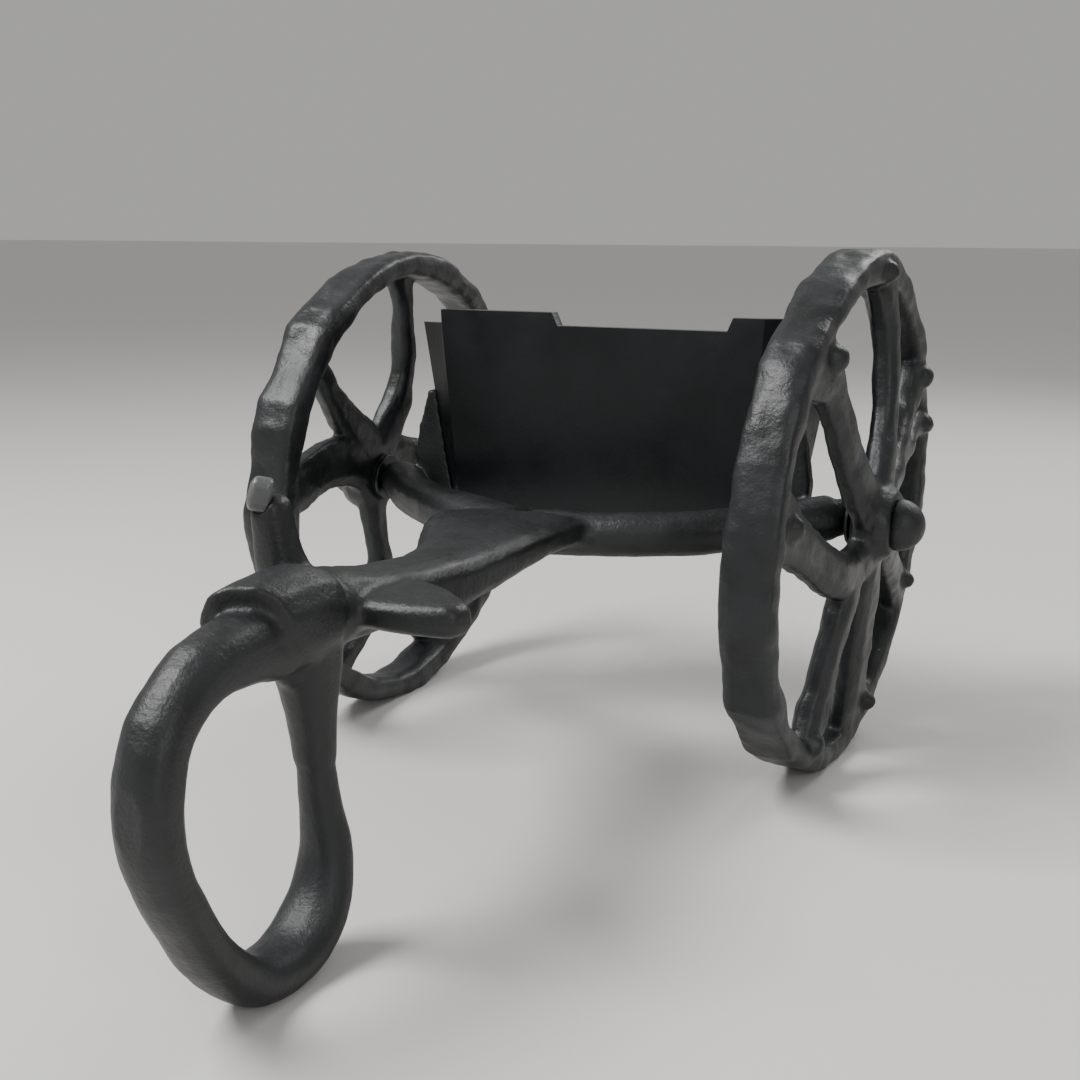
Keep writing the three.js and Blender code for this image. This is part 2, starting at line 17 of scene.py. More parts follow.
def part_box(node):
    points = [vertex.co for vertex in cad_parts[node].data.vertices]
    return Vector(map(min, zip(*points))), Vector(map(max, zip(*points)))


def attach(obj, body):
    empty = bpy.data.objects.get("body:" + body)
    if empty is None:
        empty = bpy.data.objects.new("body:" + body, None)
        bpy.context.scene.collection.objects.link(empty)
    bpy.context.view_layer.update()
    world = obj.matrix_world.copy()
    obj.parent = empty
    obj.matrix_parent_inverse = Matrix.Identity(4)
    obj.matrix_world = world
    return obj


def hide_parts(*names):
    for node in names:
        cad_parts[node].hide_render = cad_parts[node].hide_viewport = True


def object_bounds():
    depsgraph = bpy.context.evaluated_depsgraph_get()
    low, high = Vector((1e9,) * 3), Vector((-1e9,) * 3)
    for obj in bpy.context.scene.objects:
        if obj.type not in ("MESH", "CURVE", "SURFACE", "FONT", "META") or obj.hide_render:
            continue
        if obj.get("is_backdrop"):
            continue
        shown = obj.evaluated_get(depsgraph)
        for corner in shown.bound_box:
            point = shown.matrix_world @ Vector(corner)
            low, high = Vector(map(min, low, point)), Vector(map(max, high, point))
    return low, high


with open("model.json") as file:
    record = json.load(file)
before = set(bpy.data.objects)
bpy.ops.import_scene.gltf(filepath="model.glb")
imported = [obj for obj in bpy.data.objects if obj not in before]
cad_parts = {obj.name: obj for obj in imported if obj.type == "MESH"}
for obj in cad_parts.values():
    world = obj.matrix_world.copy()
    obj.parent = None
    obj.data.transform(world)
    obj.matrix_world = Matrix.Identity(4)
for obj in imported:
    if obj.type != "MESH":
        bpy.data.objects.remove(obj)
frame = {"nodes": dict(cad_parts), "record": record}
cad_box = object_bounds()
MM = 0.001
print("box, mm:", [[round(v / MM, 1) for v in corner] for corner in cad_box])

# %% [markdown]
# ## The camera
# The cart is seen from its front right, a little above, from an arm's length away. A short
# distance makes strong perspective: the loop looks large and the far wheel small. The camera is
# put at one fixed point, turned by three angles, and given a lens of about 48 mm.

# %% Camera
CAMERA_AT = (0.17622, -0.33367, 0.1545)
CAMERA_TURN = math.radians(25.84)
CAMERA_TILT = math.radians(90 - 11.94)
CAMERA_ROLL = math.radians(0.35)
LENS = 47.7             # both in millimetres, as Blender's camera expects
SENSOR_WIDTH = 36

bpy.ops.object.camera_add(location=CAMERA_AT)
camera = bpy.context.object
camera.data.lens = LENS
camera.data.sensor_width = SENSOR_WIDTH
camera.rotation_euler = (
    Matrix.Rotation(CAMERA_TURN, 3, "Z")
    @ Matrix.Rotation(CAMERA_TILT, 3, "X")
    @ Matrix.Rotation(CAMERA_ROLL, 3, "Z")
).to_euler()
bpy.context.scene.camera = camera
print("camera at", CAMERA_AT, "lens", camera.data.lens)

# %% [markdown]
# ## Helpers for modelling
# Blender's operators act on whatever is selected, so every step starts by selecting exactly one
# object. A modifier is added, given its settings and applied at once: what is left is plain mesh.
# Two more helpers join several meshes into one, and make a ball that may be stretched.

# %% Selecting and applying
def only(obj):
    bpy.ops.object.select_all(action="DESELECT")
    obj.select_set(True)
    bpy.context.view_layer.objects.active = obj


def apply_modifier(obj, kind, **settings):
    modifier = obj.modifiers.new(kind.title(), kind)
    for key, value in settings.items():
        setattr(modifier, key, value)
    only(obj)
    bpy.ops.object.modifier_apply(modifier=modifier.name)


def edit(obj):
    only(obj)
    bpy.ops.object.mode_set(mode="EDIT")
    bpy.ops.mesh.select_all(action="SELECT")


def leave_edit():
    bpy.ops.object.mode_set(mode="OBJECT")


def join(obj, others):
    only(obj)
    for other in others:
        other.select_set(True)
    bpy.ops.object.join()


def ball(place, radius=1.0, stretch=(1, 1, 1)):
    bpy.ops.object.select_all(action="DESELECT")
    bpy.ops.mesh.primitive_ico_sphere_add(subdivisions=4, radius=radius, location=place)
    made = bpy.context.object
    made.scale = stretch
    bpy.ops.object.transform_apply(location=True, rotation=True, scale=True)
    return made


print("helpers are ready")


# %% [markdown]
# ## From solids to a casting
# The real frame is one pouring: the hood, stem, step, handle and arms run into each other with
# soft fillets. The engineering solids are kept apart by thin gaps instead. A good way to fuse
# them is to copy them, grow each copy by a fraction of a millimetre so that they overlap, and
# rebuild the lot as one skin of small even squares with a voxel remesh. A few rounds of smoothing
# then melt the facets and corners, and shrink the skin back by about what it was grown.

# %% Copies of the solids
SOLID_WELD = 0.02 * MM


def merged_copy(name, nodes, grow=0.0):
    twins = []
    for node in nodes:
        twin = bpy.data.objects.new(name, frame["nodes"][node].data.copy())
        bpy.context.scene.collection.objects.link(twin)
        edit(twin)
        bpy.ops.mesh.remove_doubles(threshold=SOLID_WELD)
        leave_edit()
        if grow:
            apply_modifier(twin, "DISPLACE", strength=grow, mid_level=0.0)
        twins.append(twin)
    join(twins[0], twins[1:])
    twins[0].data.materials.clear()
    return twins[0]


# %% [markdown]
# A cast skin is never quite even. Two soft cloud textures push it in and out: a broad one for the
# swellings that hand work leaves, and a closer one for the small lumps of the sand mould. They
# move the real surface, so they also show along the outlines.

# %% Lumps
def clouds(name, size):
    texture = bpy.data.textures.new(name, "CLOUDS")
    texture.noise_scale = size
    texture.noise_depth = 1
    return texture


SWELLS = clouds("swells", 13 * MM)
LUMPS = clouds("lumps", 5 * MM)


def lumpy(obj, swell, lump):
    for texture, strength in ((SWELLS, swell), (LUMPS, lump)):
        apply_modifier(obj, "DISPLACE", texture=texture, texture_coords="LOCAL",
                       strength=strength, mid_level=0.5)


# %% [markdown]
# Single swellings and dents are pressed in one by one. A round blend texture is tied to an empty,
# so the surface moves most where the empty sits and not at all outside its radius. A positive
# height swells, a negative one dents. Places are given in millimetres from the model's origin.

# %% Pressing one spot
FADE = bpy.data.textures.new("fade", "BLEND")
FADE.progression = "QUADRATIC_SPHERE"


def press(obj, place, radius, height):
    bpy.ops.object.select_all(action="DESELECT")
    bpy.ops.object.empty_add(location=[v * MM for v in place])
    spot = bpy.context.object
    spot.scale = (radius * MM,) * 3
    bpy.context.view_layer.update()
    apply_modifier(obj, "DISPLACE", texture=FADE, texture_coords="OBJECT",
                   texture_coords_object=spot, strength=height * MM, mid_level=0.0)
    bpy.data.objects.remove(spot)


# %% [markdown]
# Now the steps of a casting come together: remesh, smooth, lumps. The skin may not stick out of
# the engineering box, so its highest lumps are pushed back to the box's faces.

# %% Casting a piece
def keep_inside(obj):
    low, high = cad_box
    for vertex in obj.data.vertices:
        for i in range(3):
            vertex.co[i] = min(max(vertex.co[i], low[i]), high[i])


VOXEL = 0.75 * MM       # fine enough for a fillet, coarse enough to stay quick


def casting(obj, rounds, swell, lump, voxel=VOXEL):
    apply_modifier(obj, "REMESH", mode="VOXEL", voxel_size=voxel, use_smooth_shade=True)
    apply_modifier(obj, "SMOOTH", factor=0.5, iterations=rounds)
    lumpy(obj, swell, lump)
    keep_inside(obj)
    only(obj)
    bpy.ops.object.shade_smooth()
    print(obj.name, "faces:", len(obj.data.polygons))


# %% [markdown]
# ## The frame
# The loop, hood, stem, step, handle and both arms are one casting. Where two bars meet, a ball is
# added to fill the corner before the remesh, the way a caster adds wax to a joint. Each fill is a
# place and three radii, in millimetres.

# %% Frame casting
FRAME_NODES = ("front_loop", "hood", "stem", "left_axle_arm", "right_axle_arm", "right_step",
               "left_handle", "left_tub_gusset", "right_tub_gusset")
JOINT_FILLS = (
    ((6.0, -98.5, 68.0), (4.6, 6.5, 6.0)),
    ((5.8, -87.0, 76.8), (9.5, 10.0, 8.9)),
    ((-3.2, -87.4, 81.0), (6.0, 5.6, 6.0)),
    ((11.0, -77.0, 77.3), (8.5, 11.0, 3.2)),
    ((-11.0, 28.0, 72.4), (12.0, 8.0, 4.6)),
    ((9.0, 31.5, 71.9), (11.0, 7.5, 4.8)),
    ((-76.2, 73.8, 74.5), (3.4, 5.6, 5.6)),
    ((76.2, 74.2, 75.0), (3.4, 5.6, 5.6)),
)


def filled(obj, balls):
    join(obj, [ball([v * MM for v in place], stretch=[r * MM for r in radii])
               for place, radii in balls])


cart_frame = merged_copy("cart_frame", FRAME_NODES, grow=0.55 * MM)
filled(cart_frame, JOINT_FILLS)
casting(cart_frame, rounds=9, swell=0.7 * MM, lump=0.12 * MM)

# %% [markdown]
# The handle ends in a small square pad, painted pale as a painted highlight on its lit end face. It
# has its own finish, so it stays a piece of its own, with smaller voxels to keep its shape.

# %% Handle pad
handle_pad = merged_copy("handle_pad", ("left_handle_pad",), grow=0.25 * MM)
casting(handle_pad, rounds=8, swell=0.5 * MM, lump=0.25 * MM, voxel=0.4 * MM)

# %% [markdown]
# The loop has a few marks of its own: a dent on its front limb, two shallower ones below it, and
# a low swelling above. Each mark is a place, a radius and a height, in millimetres.

# %% Marks on the loop
LOOP_MARKS = (
    ((6.5, -144.4, 40.5), 5.0, -0.9),
    ((9.0, -141.5, 33.0), 4.0, -0.45),
    ((9.5, -124.0, 11.0), 4.5, -0.5),
    ((4.0, -146.5, 58.0), 6.5, 0.35),
)

for place, radius, height in LOOP_MARKS:
    press(cart_frame, place, radius, height)
keep_inside(cart_frame)
print("marks pressed into", cart_frame.name, "-", len(LOOP_MARKS))

# %% [markdown]
# ## The knobs
# Where a spoke meets the rim, the outer face carries a knob. It was cast with the wheel, so each
# knob is a dented ball sunk into the rim, and the remesh below runs it into the wheel's own skin.

# %% Knobs for a wheel
KNOB_R = 3.3 * MM
KNOB_SINK = 1.7 * MM
KNOB_DENT = 1.1 * MM
DENTS = clouds("knob dents", 3 * MM)


def knobs_of(side, outward):
    made = []
    for knob_node in sorted(n for n in frame["nodes"] if n.startswith(f"{side}_rivet_")):
        low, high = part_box(knob_node)
        middle = (Vector(low) + Vector(high)) / 2
        knob = ball(middle - outward * KNOB_SINK, radius=KNOB_R)
        apply_modifier(knob, "DISPLACE", texture=DENTS, texture_coords="LOCAL",
                       strength=KNOB_DENT, mid_level=0.5)
        made.append(knob)
    return made


# %% [markdown]
# ## The wheels
# Each wheel was poured in one piece: a flat band, uneven spokes, a thick hub and the knobs. They
# are made like the frame, with a stronger swell, because their rims are visibly wavy. The hinge
# axes of the two wheels are read from the engineering model and turned to point outward.

# %% Wheel castings
joints = {j["name"].split("_")[0]: j for j in frame["record"]["behaviour"]["joints"]}
OUTWARD = {"left": -Vector(joints["left"]["axis"]), "right": Vector(joints["right"]["axis"])}
WHEEL_NODES = {side: [n for n in frame["nodes"]
                      if n == f"{side}_wheel" or n.startswith(f"{side}_rivet_")]
               for side in OUTWARD}
wheels = {}
for side, outward in OUTWARD.items():
    wheel = merged_copy(f"{side}_wheel_casting", (f"{side}_wheel",), grow=0.6 * MM)
    join(wheel, knobs_of(side, outward))
    casting(wheel, rounds=6, swell=2.0 * MM, lump=0.4 * MM)
    wheels[side] = wheel

# %% [markdown]
# ## The tub
# The tub is made of flat plates, smoother than the castings. Its copy keeps the flat faces:
# coplanar triangles are dissolved into whole faces, and a bevel rounds every sharp edge.

# %% Tub shell
EDGE_ROUND = 0.9 * MM

tub_shell = merged_copy("tub_shell", ("tub",))
edit(tub_shell)
bpy.ops.mesh.customdata_custom_splitnormals_clear()
bpy.ops.mesh.dissolve_limited(angle_limit=math.radians(1))
leave_edit()
apply_modifier(tub_shell, "BEVEL", width=EDGE_ROUND, segments=3, limit_method="ANGLE",
               angle_limit=math.radians(15))
only(tub_shell)
bpy.ops.object.shade_smooth_by_angle(angle=math.radians(25))
print("tub_shell faces:", len(tub_shell.data.polygons))

# %% [markdown]
# ## Turned pieces
# Caps, bushes, washers, spindles, the magnet and its cover are all round, so each is a profile
# spun about an axis. A profile is a chain of [radius, height] points in millimetres.

# %% Spinning a profile
PROFILE_WELD = 0.01 * MM


def turned(name, profile, placing, steps=64):
    mesh = bpy.data.meshes.new(name)
    points = [(r * MM, 0.0, h * MM) for r, h in profile]
    mesh.from_pydata(points, [(i, i + 1) for i in range(len(points) - 1)], [])
    obj = bpy.data.objects.new(name, mesh)
    bpy.context.scene.collection.objects.link(obj)
    edit(obj)
    bpy.ops.mesh.spin(steps=steps, angle=2 * math.pi, center=(0, 0, 0), axis=(0, 0, 1))
    bpy.ops.mesh.select_all(action="SELECT")
    bpy.ops.mesh.remove_doubles(threshold=PROFILE_WELD)
    bpy.ops.mesh.normals_make_consistent(inside=False)
    leave_edit()
    obj.matrix_world = placing
    only(obj)
    bpy.ops.object.transform_apply(location=True, rotation=True, scale=True)
    bpy.ops.object.shade_smooth_by_angle(angle=math.radians(35))
    return obj


print("profile points closer than", PROFILE_WELD / MM, "mm are welded")

# %% [markdown]
# The wheels lean and toe a little, so their pieces can't simply be spun about X. Each wheel gets a
# frame whose Z runs outward along its hinge, and profile heights are measured along it.

# %% Axis frames of the two wheels
def axis_frame(side):
    turn = Vector((0, 0, 1)).rotation_difference(OUTWARD[side])
    return Matrix.Translation(Vector(joints[side]["pos_m"])) @ turn.to_matrix().to_4x4()


AXIS = {side: axis_frame(side) for side in ("left", "right")}
print("axle centres, mm:", {s: [round(v / MM, 1) for v in AXIS[s].translation] for s in AXIS})

# %% [markdown]
# Each axle ends in a domed cap that sits on the hub. Behind it, a bush lines the hub and turns with
# the wheel on a fixed spindle, and a washer keeps the hub off the arm. The corners have small
# chamfers, so they catch a thin highlight.

# %% Axle pieces
CAP_R, CAP_AT = 7.5, 18.15
DOME_STEP = 6           # degrees
CAP = [(0, 17.75), (7.3, 17.75)] + [
    (CAP_R * math.cos(math.radians(a)), CAP_AT + CAP_R * math.sin(math.radians(a)))
    for a in range(0, 90, DOME_STEP)] + [(0, CAP_AT + CAP_R)]
BUSH = [(3.75, 5.6), (6.8, 5.6), (7.2, 5.9), (7.2, 6.5), (7.0, 6.7), (5.4, 6.7), (5.4, 16.2),
        (5.1, 16.5), (3.75, 16.5), (3.75, 5.6)]
WASHER = [(3.7, 4.1), (7.4, 4.1), (7.6, 4.3), (7.6, 5.0), (7.4, 5.2), (3.7, 5.2), (3.7, 4.1)]
SPINDLE = [(0, 3.0), (3.4, 3.0), (3.4, 16.6), (3.0, 17.0), (0, 17.0)]

axle_pieces = {}
for side in ("left", "right"):
    for part, profile in (("cap", CAP), ("bush", BUSH), ("washer", WASHER), ("spindle", SPINDLE)):
        axle_pieces[side, part] = turned(f"{side}_{part}_turned", profile, AXIS[side])
print("axle pieces:", len(axle_pieces))

# %% [markdown]
# ## The magnet and its cover
# A disc magnet sits in a pocket under the tub's floor, held by a thin steel cover and two screws.
# They are seen only from below. The two large discs are spun in more steps than the screws.

# %% Magnet, cover and screws
def upright(solid):
    low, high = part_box(solid)
    centre = (Vector(low) + Vector(high)) / 2
    return Matrix.Translation((centre.x, centre.y, low[2]))


MAGNET = [(0, 0), (12.1, 0), (12.5, 0.4), (12.5, 2.6), (12.1, 3.0), (0, 3.0)]
COVER = [(0, 0), (17.6, 0), (18.3, 0.1), (18.8, 0.4), (19.0, 0.9), (19.0, 1.6), (18.8, 1.8),
         (0, 1.8)]
SCREW = [(0, 0), (1.0, 0.02), (1.7, 0.2), (2.2, 0.5), (2.5, 0.9), (2.6, 1.4), (2.6, 1.6),
         (1.2, 1.6), (1.2, 3.6), (0, 3.6)]
DISC_STEPS, SCREW_STEPS = 96, 32

under_pieces = {}
for solid, name, profile, steps in (
    ("magnet", "magnet_disc", MAGNET, DISC_STEPS),
    ("magnet_cover", "magnet_cover_plate", COVER, DISC_STEPS),
    ("left_cover_screw", "left_cover_screw_turned", SCREW, SCREW_STEPS),
    ("right_cover_screw", "right_cover_screw_turned", SCREW, SCREW_STEPS),
):
    under_pieces[solid] = turned(name, profile, upright(solid), steps)
print("pieces under the floor:", len(under_pieces))

# %% [markdown]
# ## Finishes
# A finish is built from small node groups, each one effect with named inputs. Short helpers add a
# node and fill its inputs: an input takes a link if it is given another node's output, and a plain
# value otherwise.

# %% Node helpers
FLOAT, VECTOR = "NodeSocketFloat", "NodeSocketVector"


def feed(tree, made, inputs):
    for key, value in inputs:
        if isinstance(value, bpy.types.NodeSocket):
            tree.links.new(value, made.inputs[key])
        else:
            made.inputs[key].default_value = value


def node(tree, kind, inputs=(), **settings):
    made = tree.nodes.new(kind)
    for key, value in settings.items():
        setattr(made, key, value)
    feed(tree, made, dict(inputs).items())
    return made


def group(name, inputs, outputs):
    tree = bpy.data.node_groups.new(name, "ShaderNodeTree")
    for label, kind, value in inputs:
        socket = tree.interface.new_socket(label, in_out="INPUT", socket_type=kind)
        if value is not None:
            socket.default_value = value
    for label, kind in outputs:
        tree.interface.new_socket(label, in_out="OUTPUT", socket_type=kind)
    return tree, tree.nodes.new("NodeGroupInput"), tree.nodes.new("NodeGroupOutput")


print("socket kinds:", FLOAT, VECTOR)

# %% [markdown]
# Three more helpers cover the steps that every finish repeats: spreading a value over another
# range, a bit of arithmetic, and mixing two colours. A Mix node keeps a socket for each kind of
# value, so the colour sockets are picked by number.

# %% Values and colours
def remap(tree, value, from_low, from_high, to_low=0.0, to_high=1.0, smooth=False):
    mapped = node(tree, "ShaderNodeMapRange", {
        "Value": value, "From Min": from_low, "From Max": from_high,
        "To Min": to_low, "To Max": to_high},
        interpolation_type="SMOOTHSTEP" if smooth else "LINEAR")
    return mapped.outputs["Result"]


def maths(tree, operation, *values, clamp=False):
    made = node(tree, "ShaderNodeMath", operation=operation, use_clamp=clamp)
    feed(tree, made, enumerate(values))
    return made.outputs["Value"]


MIX_FACTOR, MIX_A, MIX_B, MIX_RESULT = 0, 6, 7, 2


def blend_colors(tree, factor, a, b):
    made = node(tree, "ShaderNodeMix", data_type="RGBA")
    feed(tree, made, ((MIX_FACTOR, factor), (MIX_A, a), (MIX_B, b)))
    return made.outputs[MIX_RESULT]


print("node helpers are ready")


# %% [markdown]
# **Skin grain.** Paint over a sand casting keeps a fine pebble, shallow dimples and a few
# pinholes. The group adds them into one height, and gives a slow patchy tone as well.

# %% Group: skin grain
PITS_PER_PEBBLE = 0.22

grain_tree, grain_in, grain_out = group(
    "Skin Grain",
    [("Vector", VECTOR, None), ("Pebble Scale", FLOAT, 900.0), ("Patch Scale", FLOAT, 60.0),
     ("Dimple Scale", FLOAT, 260.0), ("Dimples", FLOAT, 0.0), ("Pits", FLOAT, 0.5)],
    [("Height", FLOAT), ("Patch", FLOAT), ("Pebble", FLOAT)])
pebble = node(grain_tree, "ShaderNodeTexNoise", {
    "Vector": grain_in.outputs["Vector"], "Scale": grain_in.outputs["Pebble Scale"],
    "Detail": 4.0, "Roughness": 0.62})
patch = node(grain_tree, "ShaderNodeTexNoise", {
    "Vector": grain_in.outputs["Vector"], "Scale": grain_in.outputs["Patch Scale"],
    "Detail": 3.0, "Roughness": 0.55})
cells = node(grain_tree, "ShaderNodeTexVoronoi", {
    "Vector": grain_in.outputs["Vector"],
    "Scale": maths(grain_tree, "MULTIPLY", grain_in.outputs["Pebble Scale"], PITS_PER_PEBBLE)})
pit = remap(grain_tree, cells.outputs["Distance"], 0.02, 0.12, 1.0, 0.0, smooth=True)
pit = maths(grain_tree, "MULTIPLY", pit, grain_in.outputs["Pits"])
dimple = node(grain_tree, "ShaderNodeTexNoise", {
    "Vector": grain_in.outputs["Vector"], "Scale": grain_in.outputs["Dimple Scale"],
    "Detail": 1.0, "Roughness": 0.4})
dimple = maths(grain_tree, "MULTIPLY", dimple.outputs["Fac"], grain_in.outputs["Dimples"])
height = maths(grain_tree, "SUBTRACT", pebble.outputs["Fac"], pit)
height = maths(grain_tree, "ADD", height, dimple)
grain_tree.links.new(height, grain_out.inputs["Height"])
grain_tree.links.new(patch.outputs["Fac"], grain_out.inputs["Patch"])
grain_tree.links.new(pebble.outputs["Fac"], grain_out.inputs["Pebble"])
print("group:", grain_tree.name)

# %% [markdown]
# **Rubbed edges.** Hands polish whatever stands proud. Cycles knows how pointed each spot of a
# dense mesh is, and the group turns that into a mask, broken up by a noise so that it isn't a
# drawn line.

# %% Group: rubbed edges
rub_tree, rub_in, rub_out = group(
    "Rubbed Edges",
    [("Vector", VECTOR, None), ("Start", FLOAT, 0.52), ("Full", FLOAT, 0.6),
     ("Breakup Scale", FLOAT, 260.0)],
    [("Mask", FLOAT)])
form = node(rub_tree, "ShaderNodeNewGeometry")
edge = node(rub_tree, "ShaderNodeMapRange", {
    "Value": form.outputs["Pointiness"], "From Min": rub_in.outputs["Start"],
    "From Max": rub_in.outputs["Full"]}, interpolation_type="SMOOTHSTEP")
breakup = node(rub_tree, "ShaderNodeTexNoise", {
    "Vector": rub_in.outputs["Vector"], "Scale": rub_in.outputs["Breakup Scale"], "Detail": 4.0})
kept = remap(rub_tree, breakup.outputs["Fac"], 0.3, 0.62, 0.25, 1.0, smooth=True)
rub_tree.links.new(maths(rub_tree, "MULTIPLY", edge.outputs["Result"], kept, clamp=True),
                   rub_out.inputs["Mask"])
print("group:", rub_tree.name)

# %% [markdown]
# **Dust.** A trace of pale dust lies on what faces up, partly as an even film and partly as
# specks. It is a mask only; each finish decides how much of it shows.

# %% Group: settled dust
SPECK_SHARE = 0.7

dust_tree, dust_in, dust_out = group(
    "Settled Dust",
    [("Vector", VECTOR, None), ("Speck Scale", FLOAT, 700.0), ("Amount", FLOAT, 0.3)],
    [("Mask", FLOAT)])
facing = node(dust_tree, "ShaderNodeNewGeometry")
up = node(dust_tree, "ShaderNodeSeparateXYZ", {"Vector": facing.outputs["Normal"]})
level = remap(dust_tree, up.outputs["Z"], 0.55, 0.98, smooth=True)
specks = node(dust_tree, "ShaderNodeTexNoise", {
    "Vector": dust_in.outputs["Vector"], "Scale": dust_in.outputs["Speck Scale"], "Detail": 3.0})
speck = remap(dust_tree, specks.outputs["Fac"], 0.42, 0.66, smooth=True)
film = maths(dust_tree, "MULTIPLY_ADD", speck, SPECK_SHARE, 1 - SPECK_SHARE)
film = maths(dust_tree, "MULTIPLY", film, level)
dust_tree.links.new(maths(dust_tree, "MULTIPLY", film, dust_in.outputs["Amount"], clamp=True),
                    dust_out.inputs["Mask"])
print("group:", dust_tree.name)

# %% [markdown]
# ## Painted metal
# The charcoal paint and the tub's blue-black paint share one recipe with different values: a base
# colour that drifts a little, a lighter worn colour on the edges, dust on top, roughness that
# follows the patches, and the grain as a bump. The tub's plates are too coarse a mesh for the edge
# mask, so its lighter colour is a painted highlight, set by height on the rim's upward faces.

# %% Starting a finish
def use(tree, source, inputs):
    return node(tree, "ShaderNodeGroup", inputs, node_tree=source)


def start(name):
    material = bpy.data.materials.new(name)
    material.use_nodes = True
    tree = material.node_tree
    shader = tree.nodes["Principled BSDF"]
    where = node(tree, "ShaderNodeTexCoord").outputs["Object"]
    return material, tree, shader, where


# The tub's rim gets a painted highlight: its upward faces above a given height take the lighter
# colour.
RIM_HIGHLIGHT_FADE = 0.8 * MM


def rim_highlight_mask(tree, where, height):
    spot = node(tree, "ShaderNodeSeparateXYZ", {"Vector": where})
    above = remap(tree, spot.outputs["Z"], height, height + RIM_HIGHLIGHT_FADE, smooth=True)
    facing = node(tree, "ShaderNodeNewGeometry")
    up = node(tree, "ShaderNodeSeparateXYZ", {"Vector": facing.outputs["Normal"]})
    top = remap(tree, up.outputs["Z"], 0.25, 0.85, smooth=True)
    return maths(tree, "MULTIPLY", above, top)


print("a rim's wear fades in over", RIM_HIGHLIGHT_FADE / MM, "mm")

# %% [markdown]
# The recipe itself takes the finish's own values, and keeps the shares that all paints have in
# common: how strongly wear covers the colour, how metallic and how much smoother it is, and how
# much rougher dust makes the paint. On the tub the same shares apply to the painted rim highlight.

# %% The paint recipe
WEAR_AND_HIGHLIGHT_COVERS, WEAR_AND_HIGHLIGHT_METAL, WEAR_AND_HIGHLIGHT_SMOOTHS = 0.85, 0.6, 0.1
DUST_ROUGHENS = 0.3
DUST_COLOR = (0.3, 0.31, 0.32, 1)
PATCH_LOW, PATCH_HIGH = 0.3, 0.7    # where most of a noise's values lie
RELIEF = 0.5 * MM


def painted(name, dark, light, wear_and_highlight, rough, pebble_scale, dimples, bump, dust_amount, shine,
            rub=None, rim_highlight_from=None):
    material, tree, shader, where = start(name)
    skin = use(tree, grain_tree, {"Vector": where, "Pebble Scale": pebble_scale,
                                  "Dimples": dimples, "Pits": 0.3})
    # On the tub the mask is a painted highlight on the top of the rim; elsewhere it is rubbed wear
    # on pointed edges.
    if rim_highlight_from is None:
        wear_and_highlight_mask = use(tree, rub_tree, {"Vector": where, "Start": rub[0],
                                    "Full": rub[1]}).outputs["Mask"]
    else:
        wear_and_highlight_mask = rim_highlight_mask(tree, where, rim_highlight_from)
    dust = use(tree, dust_tree, {"Vector": where, "Amount": dust_amount}).outputs["Mask"]
    drift = remap(tree, skin.outputs["Patch"], PATCH_LOW, PATCH_HIGH, smooth=True)
    color = blend_colors(tree, drift, (*dark, 1), (*light, 1))
    color = blend_colors(tree, maths(tree, "MULTIPLY", wear_and_highlight_mask, WEAR_AND_HIGHLIGHT_COVERS), color, (*wear_and_highlight, 1))
    color = blend_colors(tree, dust, color, DUST_COLOR)
    tree.links.new(color, shader.inputs["Base Color"])
    roughness = remap(tree, skin.outputs["Patch"], PATCH_LOW, PATCH_HIGH, *rough)
    roughness = maths(tree, "SUBTRACT", roughness, maths(tree, "MULTIPLY", wear_and_highlight_mask, WEAR_AND_HIGHLIGHT_SMOOTHS))
    roughness = maths(tree, "ADD", roughness, maths(tree, "MULTIPLY", dust, DUST_ROUGHENS),
                      clamp=True)
    tree.links.new(roughness, shader.inputs["Roughness"])
    tree.links.new(maths(tree, "MULTIPLY", wear_and_highlight_mask, WEAR_AND_HIGHLIGHT_METAL), shader.inputs["Metallic"])
    shader.inputs["Specular IOR Level"].default_value = shine
    relief = node(tree, "ShaderNodeBump", {
        "Height": skin.outputs["Height"], "Strength": bump, "Distance": RELIEF})
    tree.links.new(relief.outputs["Normal"], shader.inputs["Normal"])
    return material


print("shared wear:", WEAR_AND_HIGHLIGHT_COVERS, WEAR_AND_HIGHLIGHT_METAL, WEAR_AND_HIGHLIGHT_SMOOTHS)

# %% [markdown]
# Four paints come from the recipe. The wheels' paint is close to the frame's, but more dimpled and
# rubbed paler. The handle's pad is painted pale, a painted highlight for its lit end face, and the
# tub is darker, bluer and smoother, with a painted highlight on the top of its rim.

# %% Painted finishes
CAST = painted("charcoal paint on frame", dark=(0.0062, 0.0070, 0.0076),
               light=(0.0098, 0.0116, 0.0132), wear_and_highlight=(0.055, 0.058, 0.06), rough=(0.4, 0.52),
               pebble_scale=900, dimples=0.5, bump=0.42, rub=(0.54, 0.64), dust_amount=0.035,
               shine=0.5)
WHEEL = painted("charcoal paint on wheels", dark=(0.0056, 0.0064, 0.0074),
                light=(0.0098, 0.0118, 0.0138), wear_and_highlight=(0.11, 0.113, 0.116), rough=(0.36, 0.5),
                pebble_scale=800, dimples=0.8, bump=0.4, rub=(0.535, 0.61), dust_amount=0.03,
                shine=0.5)
# The pad's paint is pale all over as a painted highlight for its lit end face, with rubbed wear on
# its edges.
PAD_PAINTED_HIGHLIGHT = painted("pale paint as painted highlight on handle pad", dark=(0.07, 0.072, 0.075), light=(0.15, 0.153, 0.156),
              wear_and_highlight=(0.3, 0.3, 0.3), rough=(0.32, 0.45), pebble_scale=900, dimples=0.6,
              bump=0.3, rub=(0.51, 0.57), dust_amount=0.0, shine=0.6)
